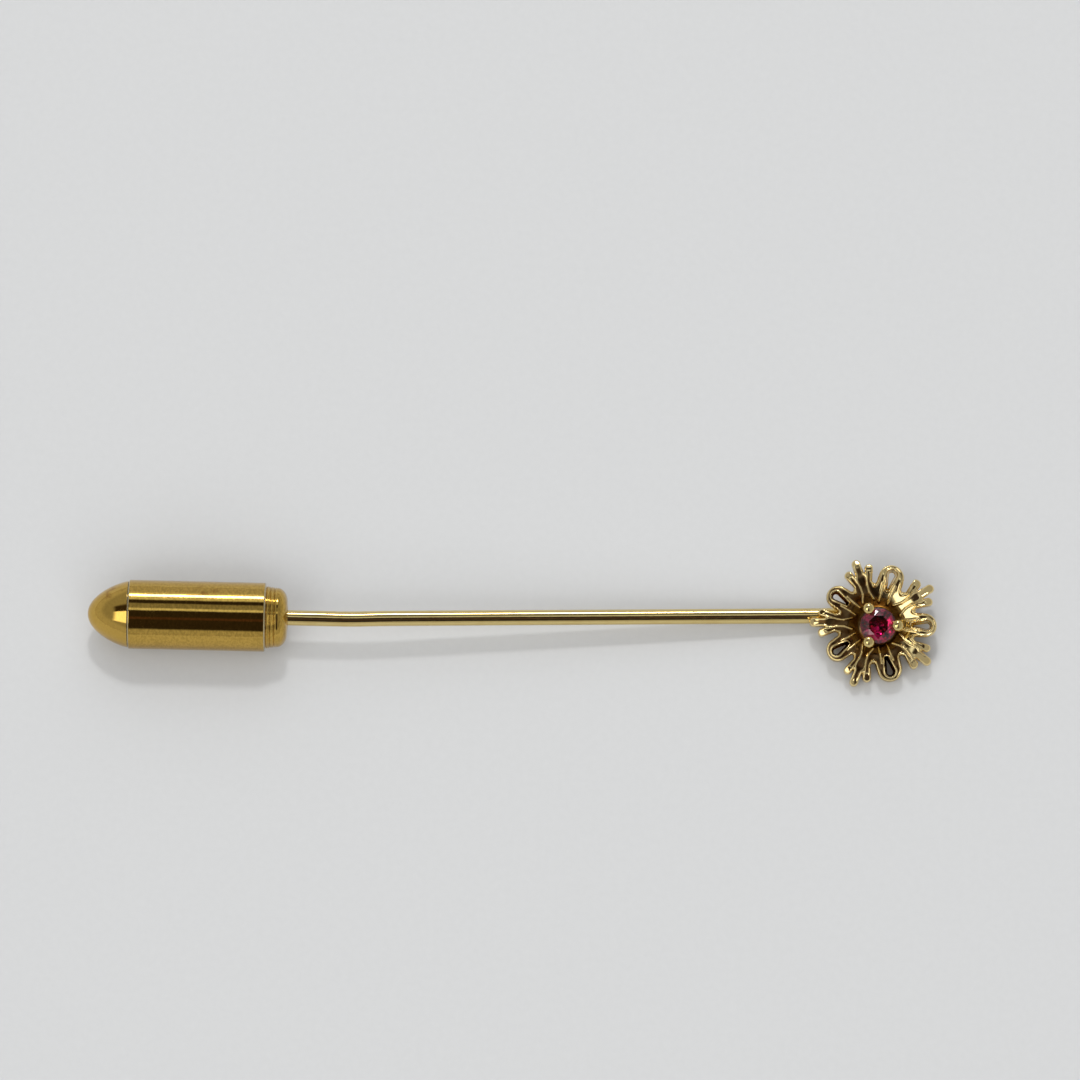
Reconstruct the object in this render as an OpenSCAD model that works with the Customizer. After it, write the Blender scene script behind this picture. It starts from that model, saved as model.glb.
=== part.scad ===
// Stick pin with a bullet clutch: a long pin wire with a flower head and a claw-set stone, and a
// spring-loaded ball clutch pushed over its point. Millimetres, +Z up.
// X runs along the pin towards the head. The origin is on the pin's axis at the clutch's mouth.

/* [Pin wire] */
// Diameter of the pin wire
wire_d = 1; // [0.9:0.01:1.1]
// Diameter of the ground length that slides inside the clutch
shank_d = 0.96; // [0.9:0.01:0.98]
// Depth of the point inside the clutch, from its mouth
point_depth = 10.8; // [9:0.1:11]
// Length of the ground point
point_len = 2.4; // [1:0.1:4]
// Straight length outside the clutch, where the pin passes through cloth
straight_len = 3.2; // [2:0.1:6]
// Sideways bend just past the straight length, in degrees
side_bend = 2.86; // [0:0.01:5]
// Distance along the pin over which it bows down to the table
bow_run = 29.98; // [20:0.01:40]
// Length of the level end that is soldered under the head
level_len = 3; // [2.5:0.05:5]
// Clear height of the level end over the table, where the head holds it up
wire_lift = 0.17; // [0:0.01:0.5]

/* [Clutch outside] */
// Diameter of the barrel
barrel_d = 4.5; // [4.2:0.1:5]
// Length of the barrel
barrel_len = 8.88; // [8.6:0.02:9.6]
// Wall of the barrel
barrel_wall = 0.3; // [0.25:0.01:0.35]
// Diameter of the ringed collar at the mouth
collar_d = 4.1; // [4.05:0.01:4.2]
// Visible length of the collar
collar_len = 1.42; // [1.3:0.01:1.6]
// Number of fine rings turned into the collar
collar_rings = 5; // [3:1:6]
// Diameter of the bullet nose where it meets the barrel
nose_d = 4.34; // [4.2:0.02:4.5]
// Length of the bullet nose
nose_len = 2.66; // [2.2:0.02:3.5]

/* [Clutch inside] */
// Diameter of each locking ball
ball_d = 0.9; // [0.8:0.02:0.94]
// Half angle of the taper seat's cone, in degrees
cone_angle = 12; // [10:0.5:12]
// Travel of the nose when it is pulled to release the pin
release_travel = 1; // [0.6:0.05:1]
// Diameter of the spring's wire
spring_wire_d = 0.28; // [0.2:0.01:0.32]
// Number of turns in the spring
spring_turns = 5; // [4:1:6]

/* [Flower head] */
// Roll of the head about the wire, towards the side it rests on, in degrees
head_roll = 14.5; // [10:0.5:15]
// Turn of the flower in its own plane, in degrees
head_spin = -2.2; // [-10:0.1:10]
// How far the middle of the head lies to the side of the wire
head_shift = 0.7; // [0:0.01:1]
// Number of loops, with one branch between each two
petals = 5; // [4:1:6]
// Height of the casting's flat back above the wire's axis
back_h = 0.54; // [0.52:0.01:0.6]
// Height of the crest of the dished face above the wire's axis
crest_h = 1.7; // [1.5:0.05:1.9]
// Radius of the crest
crest_r = 3; // [2.8:0.1:3.2]
// Radius at the tips of the loops
loop_tip_r = 3.92; // [3.7:0.01:4]
// Width of each loop
loop_w = 1.52; // [1.3:0.01:1.6]
// Radius at the tip of each branch's middle finger
finger_tip_r = 4.38; // [4.1:0.01:4.4]
// Radius at the tips of the two side fingers
side_tip_r = 3.88; // [3.7:0.01:3.95]
// Width of a finger
finger_w = 0.58; // [0.5:0.01:0.62]
// Angle between a side finger and the middle one, in degrees
finger_spread = 11.5; // [11:0.1:13]

/* [Stone] */
// Diameter of the stone
stone_d = 2.3; // [2.2:0.05:2.35]
// Number of claws
claw_count = 3; // [3:1:3]
// Diameter of each claw's ball end
claw_ball_d = 0.8; // [0.7:0.02:0.9]
// Diameter of each claw's post
claw_post_d = 0.4; // [0.3:0.02:0.44]
// How far the stone and its setting sit off the flower's centre, along the wire
seat_x = 0.1; // [-0.1:0.01:0.2]
// How far they sit off it across the wire
seat_y = -0.18; // [-0.2:0.01:0.1]

/* [Hidden] */
// Finest drawn facet count of round shapes
$fn = 64;
// Gap between faces that meet but belong to different moving bodies
seam_gap = 0.02;
// Length of the taper from the ground shank up to the full wire
step_len = 0.6;
// Radius of the blunted point
point_r = 0.05;
// Sleeve over each joint of the bent wire
sleeve_d = wire_d + 0.02;
sleeve_len = 0.2;
// Radii of the bend to the side, the bend down and the bend that levels the wire again
side_bend_r = 40;
down_bend_r = 40;
level_bend_r = 20;

// The table lies one barrel radius under the pin's axis, and the wire's level end is held over it
table_z = -barrel_d / 2;
wire_drop = -table_z - wire_d / 2 - wire_lift;
// An arc down, a straight slope and an arc level again cover the run and the drop
bends_r = down_bend_r + level_bend_r;
slope_len = sqrt(pow(bow_run, 2) + pow(bends_r - wire_drop, 2) - pow(bends_r, 2));
slope_angle = atan2(bow_run, bends_r - wire_drop) - atan2(slope_len, bends_r);
bow_start = [
    straight_len + side_bend_r * sin(side_bend),
    side_bend_r * (1 - cos(side_bend)),
    0
];

// Places along the clutch, all behind its mouth at x = 0
barrel_ir = barrel_d / 2 - barrel_wall;
collar_x = -collar_len;
barrel_end_x = collar_x - barrel_len;
nose_tip_x = barrel_end_x - nose_len;
spigot_x = collar_x - 1.23;
seat_end_x = spigot_x - 2.8;
ball_x = spigot_x - 1;
flange_x = seat_end_x - 0.2;
flange_len = 0.5;
bush_len = 0.53;
bush_x = barrel_end_x + bush_len;
// Bores that the shank and the stem slide in
slide_clearance = 0.08;
pin_bore_r = shank_d / 2 + slide_clearance;
funnel_r = 0.95;
funnel_len = 0.4;
ring_depth = 0.05;
// The collar narrows a little towards its mouth, and then rounds over this length and this depth
collar_taper = 0.11;
collar_round_len = 0.7;
collar_round_depth = 0.9;
// How sharply the nose curves in: 2 is an ellipse, and less is more pointed
nose_power = 1.3;
barrel_bevel = 0.1;
cage_r = 1.1;
cage_front_x = spigot_x - 0.15;
flange_r = barrel_ir - 0.2;
stem_r = 0.95;
stem_end_x = barrel_end_x - 1.17;
stem_floor_x = stem_end_x + 0.3;
bush_bore_r = stem_r + 0.05;
// Each ball is held this far from the shank and from the cone
ball_gap = 0.01;
ball_hole_d = ball_d + 0.06;
ball_r = shank_d / 2 + ball_gap + ball_d / 2;
cone_r_at_ball = ball_r + (ball_d / 2 + ball_gap) / cos(cone_angle);
spring_r = 1.4;
spring_sides = 8;
spring_steps = 16;

// Flower outline: the loops' and their holes' round ends, and the roots where their limbs meet
loop_c = loop_tip_r - loop_w / 2;
loop_root = 0.9;
hole_w = 0.65;
hole_c = loop_tip_r - 0.3 - hole_w / 2;
hole_root = 2.15;
finger_root = 1.3;
pocket_r = 1.5;
web_r = 2.7;
web_h = 0.95;
rim_r = finger_tip_r + 0.05;
rim_h = 1.25;
crest_steps = 6;

// Stone and setting, as heights above the wire's axis
girdle_h = 1.85;
girdle_thick = 0.06;
table_h = 2.22;
table_r = 0.62;
culet_h = 1.05;
setting_top_h = 1.8;
setting_top_r = 1.22;
setting_base_r = 0.98;
setting_wall = 0.1;
claw_circle_r = 1.28;
claw_ball_h = 2.08;
solder_r = 1;

pale_gold = [0.86, 0.74, 0.45];
plated_gold = [0.85, 0.63, 0.24];
steel = [0.72, 0.72, 0.73];

// ---- Placing ----

// Turns a profile of [x, radius] points about the pin's axis
module turned(profile) {
    rotate([0, 90, 0]) rotate_extrude() polygon([for (p = profile) [p[1], p[0]]]);
}

// A plain turned tube between two places on the axis
module tube(from_x, to_x, outer_r, inner_r) {
    turned([[from_x, inner_r], [to_x, inner_r], [to_x, outer_r], [from_x, outer_r]]);
}

// The end of the wire, on its axis, with X along the wire
module at_wire_end() {
    translate(bow_start) rotate([0, 0, side_bend])
        translate([bow_run + level_len, 0, -wire_drop]) children();
}

// The wire's end rolled over with the head, where the two are soldered together
module on_roll() {
    at_wire_end() rotate([head_roll, 0, 0]) children();
}

// The head's own frame: Z is out of its face, and the wire's axis is at height 0
module on_head() {
    on_roll() translate([0, -head_shift, 0]) rotate([0, 0, head_spin]) children();
}

// ---- Pin wire ----

module sleeve() {
    rotate([0, 90, 0]) cylinder(d = sleeve_d, h = sleeve_len, center = true);
}

// A length of wire bent towards +Y, with the children going on from its far end, where a short
// sleeve a hair wider than the wire covers the joint and makes the lengths one solid
module bend(radius, angle) {
    translate([0, radius, 0]) rotate([0, 0, -90])
        rotate_extrude(angle = angle, $fn = 256) translate([radius, 0]) circle(d = wire_d, $fn = 48);
    translate([radius * sin(angle), radius * (1 - cos(angle)), 0]) rotate([0, 0, angle]) {
        sleeve();
        children();
    }
}

// A straight length of wire from the local origin
module straight_wire(length) {
    rotate([0, 90, 0]) cylinder(d = wire_d, h = length);
}

module ground_shank() {
    turned([
        [-point_depth, 0],
        [-point_depth, point_r],
        [-point_depth + point_len * 0.5, shank_d * 0.32],
        [-point_depth + point_len, shank_d / 2],
        [-step_len, shank_d / 2],
        [0, wire_d / 2],
        [0, 0]
    ]);
}

module pin_wire() {
    color(pale_gold) {
        ground_shank();
        straight_wire(straight_len);
        translate([straight_len, 0, 0]) bend(side_bend_r, side_bend)
            rotate([-90, 0, 0]) bend(down_bend_r, slope_angle) {
                straight_wire(slope_len);
                translate([slope_len, 0, 0]) sleeve();
                translate([slope_len, 0, 0]) rotate([180, 0, 0])
                    bend(level_bend_r, slope_angle) straight_wire(level_len);
            }
    }
}

module solder_joint() {
    color(pale_gold) on_roll() difference() {
        intersection() {
            translate([-0.35, 0, 0.62]) sphere(r = solder_r);
            translate([-2, -2, -2]) cube([4, 4, 2 + back_h]);
        }
        translate([-level_len, 0, 0]) straight_wire(level_len);
    }
}

// ---- Flower head ----

// A round end at centre_x with straight limbs that meet in a point at root_x
module teardrop(centre_x, radius, root_x) {
    lean = asin(radius / (centre_x - root_x));
    touch = [centre_x - radius * sin(lean), radius * cos(lean)];
    translate([centre_x, 0]) circle(r = radius);
    polygon([[root_x, 0], touch, [touch[0], -touch[1]]]);
}

module finger(tip_r) {
    end_r = tip_r - finger_w / 2;
    translate([finger_root, -finger_w / 2]) square([end_r - finger_root, finger_w]);
    translate([end_r, 0]) circle(d = finger_w);
}

module flower_outline() {
    for (i = [0:petals - 1]) rotate(i * 360 / petals) {
        teardrop(loop_c, loop_w / 2, loop_root);
        rotate(180 / petals) {
            finger(finger_tip_r);
            rotate(finger_spread) finger(side_tip_r);
            rotate(-finger_spread) finger(side_tip_r);
        }
    }
}

// Height of the dished face at a radius: up to the crest, then down to the rim
function face_h(r) = r < crest_r
    ? web_h + (crest_h - web_h) * sin(90 * (r - pocket_r) / (crest_r - pocket_r))
    : crest_h - (crest_h - rim_h) * (1 - cos(90 * (r - crest_r) / (rim_r - crest_r)));

module dished_ring() {
    rotate_extrude() polygon(concat(
        [[rim_r, back_h], [pocket_r, back_h]],
        [for (i = [0:crest_steps]) let (r = pocket_r + i * (crest_r - pocket_r) / crest_steps)
            [r, face_h(r)]],
        [for (i = [1:crest_steps]) let (r = crest_r + i * (rim_r - crest_r) / crest_steps)
            [r, face_h(r)]]
    ));
}

module flower_casting() {
    color(pale_gold) on_head() difference() {
        union() {
            intersection() {
                linear_extrude(height = crest_h + 1) flower_outline();
                dished_ring();
            }
            translate([0, 0, back_h]) cylinder(r = web_r, h = web_h - back_h);
        }
        for (i = [0:petals - 1]) rotate(i * 360 / petals)
            linear_extrude(height = crest_h + 1) teardrop(hole_c, hole_w / 2, hole_root);
    }
}

module stone_blank() {
    stone_r = stone_d / 2;
    rotate_extrude() polygon([
        [0, culet_h],
        [stone_r, girdle_h],
        [stone_r, girdle_h + girdle_thick],
        [table_r, table_h],
        [0, table_h]
    ]);
}

module on_seat() {
    on_head() translate([seat_x, seat_y, 0]) children();
}

module setting_cup() {
    rotate_extrude() polygon([
        [setting_base_r - setting_wall * 4, web_h],
        [setting_base_r, web_h],
        [setting_top_r, setting_top_h],
        [stone_d / 2 - 0.03, setting_top_h],
        [setting_base_r - setting_wall * 4, web_h + 0.38]
    ]);
}

module stone_setting() {
    color(pale_gold) on_seat() difference() {
        setting_cup();
        stone_blank();
    }
}

module claw(index) {
    color(pale_gold) on_seat() rotate((index - 1) * 360 / claw_count) difference() {
        union() {
            translate([claw_circle_r, 0, web_h]) cylinder(d = claw_post_d, h = claw_ball_h - web_h);
            translate([claw_circle_r, 0, claw_ball_h]) sphere(d = claw_ball_d);
        }
        setting_cup();
        stone_blank();
    }
}

module claw_1() { claw(1); }
module claw_2() { claw(2); }
module claw_3() { claw(3); }

module round_stone() {
    color([0.6, 0.05, 0.22]) on_seat() stone_blank();
}

// ---- Clutch outside ----

module clutch_barrel() {
    outer_r = barrel_d / 2;
    color(plated_gold) turned([
        [collar_x, barrel_ir],
        [collar_x, outer_r - barrel_bevel],
        [collar_x - barrel_bevel, outer_r],
        [barrel_end_x + barrel_bevel, outer_r],
        [barrel_end_x, outer_r - barrel_bevel],
        [barrel_end_x, barrel_ir]
    ]);
}

module front_collar() {
    ringed_len = collar_len - collar_round_len;
    ring_pitch = ringed_len / (collar_rings + 0.5);
    front_r = collar_d / 2 - collar_taper;
    color(plated_gold) turned(concat(
        [[spigot_x, pin_bore_r], [spigot_x, barrel_ir], [collar_x, barrel_ir], [collar_x, collar_d / 2]],
        [for (i = [1:collar_rings], side = [-1, 0, 1])
            let (along = (i - 0.5) * ring_pitch + side * ring_depth, narrowed = along / ringed_len)
            [collar_x + along,
                collar_d / 2 - collar_taper * narrowed - (side == 0 ? ring_depth : 0)]],
        [for (a = [90:-15:0])
            [-collar_round_len * (1 - cos(a)), front_r - collar_round_depth * (1 - sin(a))]],
        [[0, funnel_r], [-funnel_len, pin_bore_r]]
    ));
}

module nose_cap() {
    back_x = barrel_end_x - seam_gap;
    color(plated_gold) turned(concat(
        [[stem_end_x, 0], [stem_end_x, stem_r], [back_x, stem_r]],
        [for (a = [0:7.5:90])
            [back_x - (nose_len - seam_gap) * pow(sin(a), 2 / nose_power), nose_d / 2 * cos(a)]]
    ));
}

// ---- Clutch inside ----

module taper_seat() {
    slope = tan(cone_angle);
    color(steel) turned([
        [spigot_x, cone_r_at_ball + (ball_x - spigot_x) * slope],
        [spigot_x, barrel_ir],
        [seat_end_x, barrel_ir],
        [seat_end_x, cone_r_at_ball + (ball_x - seat_end_x) * slope]
    ]);
}

module rear_bush() {
    color(steel) tube(barrel_end_x, bush_x, barrel_ir, bush_bore_r);
}

module plunger_stem() {
    color(steel) difference() {
        union() {
            tube(flange_x, cage_front_x, cage_r, pin_bore_r);
            tube(flange_x - flange_len, flange_x, flange_r, pin_bore_r);
            tube(stem_floor_x, flange_x - flange_len, stem_r, pin_bore_r);
            tube(stem_end_x, stem_floor_x, stem_r, 0);
        }
        for (i = [0:2]) rotate([i * 120, 0, 0]) translate([ball_x, 0, 0])
            cylinder(d = ball_hole_d, h = barrel_d);
    }
}

module lock_ball(index) {
    color(steel) rotate([(index - 1) * 120, 0, 0]) translate([ball_x, 0, ball_r]) sphere(d = ball_d);
}

module lock_ball_1() { lock_ball(1); }
module lock_ball_2() { lock_ball(2); }
module lock_ball_3() { lock_ball(3); }

// One ring of the spring's wire after a share of the coil, as points around its centre line
function spring_ring(share) =
    let (
        first_x = flange_x - flange_len - spring_wire_d / 2 - seam_gap,
        last_x = bush_x + spring_wire_d / 2 + seam_gap,
        turn = 360 * spring_turns * share,
        x = first_x + (last_x - first_x) * share
    )
    [for (k = [0:spring_sides - 1])
        let (a = 360 * k / spring_sides, r = spring_r + spring_wire_d / 2 * cos(a))
        [x + spring_wire_d / 2 * sin(a), r * cos(turn), r * sin(turn)]];

module return_spring() {
    rings = spring_turns * spring_steps;
    points = [for (i = [0:rings]) each spring_ring(i / rings)];
    walls = [
        for (i = [0:rings - 1], k = [0:spring_sides - 1])
            let (next = (k + 1) % spring_sides, base = i * spring_sides, far = base + spring_sides)
            [base + k, base + next, far + next, far + k]
    ];
    first_end = [for (k = [spring_sides - 1:-1:0]) k];
    last_end = [for (k = [0:spring_sides - 1]) rings * spring_sides + k];
    color(steel) polyhedron(points = points, faces = concat(walls, [first_end, last_end]));
}

pin_wire();
flower_casting();
stone_setting();
claw_1();
claw_2();
claw_3();
round_stone();
solder_joint();
clutch_barrel();
front_collar();
taper_seat();
rear_bush();
nose_cap();
plunger_stem();
lock_ball_1();
lock_ball_2();
lock_ball_3();
return_spring();
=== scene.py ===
"""The looks of a gold stick pin with a bullet clutch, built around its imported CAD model."""
import math

import bpy
import bmesh
import numpy as np
from mathutils import Matrix, Vector, noise


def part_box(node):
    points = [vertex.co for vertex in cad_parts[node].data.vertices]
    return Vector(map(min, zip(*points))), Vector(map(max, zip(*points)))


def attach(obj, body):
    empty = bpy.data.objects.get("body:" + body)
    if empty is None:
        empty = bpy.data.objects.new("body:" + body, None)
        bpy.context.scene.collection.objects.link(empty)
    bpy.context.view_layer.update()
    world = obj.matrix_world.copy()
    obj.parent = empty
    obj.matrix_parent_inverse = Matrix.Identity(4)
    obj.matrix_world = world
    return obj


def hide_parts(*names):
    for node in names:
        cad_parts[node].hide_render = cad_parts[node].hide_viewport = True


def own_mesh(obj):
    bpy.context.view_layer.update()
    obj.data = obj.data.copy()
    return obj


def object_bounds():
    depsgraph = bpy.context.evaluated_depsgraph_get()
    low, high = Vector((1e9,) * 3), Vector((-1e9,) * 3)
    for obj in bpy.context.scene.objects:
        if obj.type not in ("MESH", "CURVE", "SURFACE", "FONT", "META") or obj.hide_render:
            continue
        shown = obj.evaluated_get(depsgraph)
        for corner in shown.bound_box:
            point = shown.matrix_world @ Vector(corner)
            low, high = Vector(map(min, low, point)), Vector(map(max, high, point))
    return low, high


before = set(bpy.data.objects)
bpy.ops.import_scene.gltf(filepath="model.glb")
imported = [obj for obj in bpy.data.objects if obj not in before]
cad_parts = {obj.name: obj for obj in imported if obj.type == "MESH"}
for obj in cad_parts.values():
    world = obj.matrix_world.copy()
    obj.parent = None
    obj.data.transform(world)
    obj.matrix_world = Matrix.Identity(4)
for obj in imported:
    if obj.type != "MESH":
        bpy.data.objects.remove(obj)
CAD_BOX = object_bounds()

MM = 0.001
TAU = 2 * math.pi

# ---- Sizes shared with the CAD model, in metres ----
WIRE_R = 0.5 * MM
SHANK_R = 0.48 * MM
POINT_LEN = 2.4 * MM
POINT_R = 0.05 * MM
STRAIGHT_LEN = 3.2 * MM
SIDE_BEND = math.radians(2.86)
SIDE_BEND_R = 40 * MM
BOW_RUN = 29.98 * MM
LEVEL_LEN = 3.0 * MM
TAPER_LEN = 0.6 * MM
DOWN_BEND_R = 40 * MM
LEVEL_BEND_R = 20 * MM
WIRE_LIFT = 0.17 * MM
HEAD_ROLL = math.radians(14.5)
HEAD_SPIN = math.radians(-2.2)
HEAD_SHIFT = 0.7 * MM
BEVEL = 0.06 * MM
BACK_H = 0.54 * MM
WEB_H = 0.95 * MM
COLLAR_RINGS = 5
COLLAR_TAPER = 0.11 * MM
COLLAR_ROUND_LEN = 0.7 * MM
COLLAR_ROUND_DEPTH = 0.9 * MM
NOSE_POWER = 1.3
BALL_COUNT = 3

BARREL_LOW, BARREL_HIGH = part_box("clutch_barrel")
COLLAR_LOW, COLLAR_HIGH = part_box("front_collar")
NOSE_LOW, NOSE_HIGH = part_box("nose_cap")
POINT_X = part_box("pin_wire")[0].x
BARREL_R = BARREL_HIGH.z
TABLE_Z = -BARREL_R
WIRE_DROP = -TABLE_Z - WIRE_R - WIRE_LIFT


# ---- Node helpers ----

class Nodes:
    """A node tree, with short calls to add and join its nodes."""

    def __init__(self, tree, shader, output):
        self.tree = tree
        self.tree.nodes.clear()
        self.shader = self.tree.nodes.new(shader)
        out = self.tree.nodes.new(output)
        self.tree.links.new(self.shader.outputs[0], out.inputs["Surface"])

    def node(self, kind, **values):
        """Adds a node. Each value goes to the node's setting or input of that name."""
        n = self.tree.nodes.new(kind)
        for key, value in values.items():
            if hasattr(n, key):
                setattr(n, key, value)
            else:
                self.put(n.inputs[key.replace("_", " ")], value)
        return n

    def put(self, socket, value):
        """Joins a socket to another, or gives it a plain value."""
        if isinstance(value, bpy.types.NodeSocket):
            self.tree.links.new(value, socket)
        else:
            socket.default_value = value

    def set(self, **values):
        """Sets the shader's own inputs."""
        for key, value in values.items():
            self.put(self.shader.inputs[key.replace("_", " ")], value)

    def band(self, value, low, high, to_low=0.0, to_high=1.0):
        """Maps value from low..high to to_low..to_high, smoothly and within its limits."""
        n = self.node("ShaderNodeMapRange", interpolation_type="SMOOTHSTEP")
        for slot, v in zip(range(5), (value, low, high, to_low, to_high)):
            self.put(n.inputs[slot], v)
        return n.outputs[0]

    def math(self, operation, a, b=0.0):
        """A sum of one or two values."""
        n = self.tree.nodes.new("ShaderNodeMath")
        n.operation = operation
        self.put(n.inputs[0], a)
        self.put(n.inputs[1], b)
        return n.outputs[0]

    def mix(self, share, a, b):
        """The colour a, turning into b as the share goes from 0 to 1."""
        n = self.tree.nodes.new("ShaderNodeMix")
        n.data_type = "RGBA"
        self.put(n.inputs[0], share)
        self.put(n.inputs[6], a)
        self.put(n.inputs[7], b)
        return n.outputs[2]

    def ramp(self, value, stops):
        """A colour by value, through stops of (position, colour)."""
        n = self.tree.nodes.new("ShaderNodeValToRGB")
        self.put(n.inputs[0], value)
        elements = n.color_ramp.elements
        while len(elements) > 1:
            elements.remove(elements[-1])
        for i, (position, colour) in enumerate(stops):
            e = elements[0] if i == 0 else elements.new(position)
            e.position = position
            e.color = colour
        return n.outputs[0]


class Material(Nodes):
    """A material whose nodes work from the object's own coordinates."""

    def __init__(self, name):
        self.material = bpy.data.materials.new(name)
        self.material.use_nodes = True
        super().__init__(self.material.node_tree, "ShaderNodeBsdfPrincipled", "ShaderNodeOutputMaterial")
        self.place = self.tree.nodes.new("ShaderNodeTexCoord").outputs["Object"]

    def stretched(self, x=1.0, y=1.0, z=1.0):
        """The object's coordinates, scaled along each axis."""
        return self.node("ShaderNodeMapping", Vector=self.place, Scale=(x, y, z)).outputs["Vector"]

    def noise(self, scale, detail=3.0, vector=None):
        """Noise from 0 to 1, with this many cells to the metre."""
        n = self.node("ShaderNodeTexNoise", Vector=vector or self.place, Scale=scale, Detail=detail,
                      Roughness=0.55)
        return n.outputs["Fac"]

    def bump(self, height, distance, normal=None):
        """A normal bumped by a height from 0 to 1 over this distance, on top of another normal."""
        n = self.node("ShaderNodeBump", Height=height, Distance=distance, Strength=1.0)
        if normal is not None:
            self.put(n.inputs["Normal"], normal)
        return n.outputs["Normal"]

    def axis(self, letter):
        """One coordinate of the object's place, in metres."""
        return self.node("ShaderNodeSeparateXYZ", Vector=self.place).outputs[letter]


def rgb(r, g, b):
    """An opaque colour."""
    return (r, g, b, 1.0)


# ---- Materials ----

PALE_GOLD = rgb(0.73, 0.57, 0.24)
PALE_GOLD_DEEP = rgb(0.60, 0.42, 0.14)
PLATED_GOLD = rgb(0.60, 0.385, 0.085)
PLATED_DEEP = rgb(0.44, 0.282, 0.058)
WORN_SILVER = rgb(0.50, 0.46, 0.33)
STAIN = rgb(0.30, 0.14, 0.03)


def pale_gold(name, scratch_along=(1.0, 1.0, 1.0), deep=0.35, rough=0.06):
    """Polished pale gold: fine scratches, soft waviness and a slightly deeper colour in patches."""
    m = Material(name)
    patches = m.noise(900, 3)
    m.set(Metallic=1.0)
    m.set(Base_Color=m.mix(m.band(patches, 0.45, 0.75, 0.0, deep), PALE_GOLD, PALE_GOLD_DEEP))
    fine = m.noise(9000, 2, m.stretched(*scratch_along))
    m.set(Roughness=m.band(fine, 0.3, 0.8, rough, rough + 0.10))
    waves = m.bump(m.noise(1100, 2), 0.0015 * MM)
    m.set(Normal=m.bump(fine, 0.0004 * MM, waves))
    return m.material


def cast_gold(name):
    """Cast and hand-polished gold: bright ridges; dark brown in the grooves and round the stone, partly
    patina and partly painted shade; painted light on one side, all read from the ridge attribute.
    """
    m = Material(name)
    ridge = m.node("ShaderNodeAttribute", attribute_name="ridge").outputs["Fac"]
    mottle = m.noise(1500, 3)
    # painted shade: deep is the share of dark brown colour and brown-tinted mirror, partly patina; a noise
    # varies it a little at random
    deep = m.math("MULTIPLY", m.band(ridge, 0.60, 0.05), m.band(mottle, 0.30, 0.65, 0.88, 1.0))
    m.set(Metallic=1.0)
    m.set(Base_Color=m.mix(deep, rgb(0.83, 0.65, 0.31), rgb(0.085, 0.036, 0.010)))
    m.set(Specular_Tint=m.mix(deep, rgb(1.0, 1.0, 1.0), rgb(0.30, 0.17, 0.07)))
    m.set(Roughness=m.band(deep, 0.0, 1.0, 0.07, 0.22))
    pits = m.noise(4200, 3)
    m.set(Normal=m.bump(pits, 0.0015 * MM, m.bump(m.noise(1300, 2), 0.006 * MM)))
    return m.material


def plated_gold(name, worn_at=(), worn_width=0.05 * MM, stained_at=None, tarnish=0.9):
    """Bright gold plate with fine turned lines, brown stains, and paler wear at its edges."""
    m = Material(name)
    x = m.axis("X")
    cloud = m.noise(420, 4)
    grain = m.noise(7000, 2, m.stretched(1.0, 0.12, 0.12))
    colour = m.mix(m.band(cloud, 0.42, 0.72, 0.0, 0.25), PLATED_GOLD, PLATED_DEEP)
    satin = m.noise(8000, 2, m.stretched(1.0, 0.6, 0.6))
    colour = m.mix(m.band(satin, 0.35, 0.65, 0.0, tarnish), colour, PLATED_DEEP)
    specks = m.band(m.noise(3300, 2), 0.70, 0.78, 0.0, 0.6)
    if stained_at is not None:
        away = m.node("ShaderNodeVectorMath", operation="DISTANCE")
        m.put(away.inputs[0], m.place)
        m.put(away.inputs[1], stained_at)
        near = m.band(away.outputs["Value"], 0.4 * MM, 1.3 * MM, 1.0, 0.0)
        blots = m.band(m.noise(1700, 4), 0.48, 0.70, 0.0, 0.85)
        specks = m.math("MAXIMUM", specks, m.math("MULTIPLY", near, blots))
    colour = m.mix(specks, colour, STAIN)
    for place in worn_at:
        away = m.math("ABSOLUTE", m.math("SUBTRACT", x, place))
        ragged = m.math("MULTIPLY", m.noise(2600, 3), worn_width)
        pale_share = m.band(m.math("SUBTRACT", away, ragged), 0.0, worn_width, 0.8, 0.0)
        colour = m.mix(pale_share, colour, WORN_SILVER)
    m.set(Metallic=1.0)
    m.set(Base_Color=colour)
    m.set(Roughness=m.band(grain, 0.3, 0.75, 0.04, 0.11))
    soft = m.bump(m.noise(800, 3), 0.0025 * MM)
    m.set(Normal=m.bump(grain, 0.0006 * MM, soft))
    return m.material


def red_stone():
    """Clear deep red stone, with faint silk inside."""
    m = Material("red_stone")
    silk = m.noise(1600, 3)
    m.set(Base_Color=m.mix(silk, rgb(0.40, 0.002, 0.050), rgb(0.58, 0.008, 0.105)))
    m.set(Roughness=0.015)
    m.set(IOR=1.77)
    m.set(Specular_IOR_Level=0.3)
    m.set(Transmission_Weight=1.0)
    m.set(Normal=m.bump(m.noise(2500, 2), 0.0006 * MM))
    return m.material


def turned_steel():
    """Bright turned steel with fine rings round its axis."""
    m = Material("turned_steel")
    rings = m.noise(9000, 2, m.stretched(1.0, 0.05, 0.05))
    m.set(Metallic=1.0)
    m.set(Base_Color=m.mix(m.noise(700, 3), rgb(0.60, 0.60, 0.61), rgb(0.72, 0.71, 0.69)))
    m.set(Roughness=m.band(rings, 0.3, 0.7, 0.18, 0.32))
    m.set(Normal=m.bump(rings, 0.002 * MM))
    return m.material


def floor_paper():
    """Matt pale paper with a faint grain."""
    m = Material("floor_paper")
    fibre = m.noise(2200, 4)
    m.set(Base_Color=m.mix(fibre, rgb(0.495, 0.50, 0.505), rgb(0.525, 0.53, 0.535)))
    m.set(Roughness=0.9)
    m.set(Normal=m.bump(fibre, 0.002 * MM))
    return m.material


# ---- Mesh helpers ----

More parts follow.
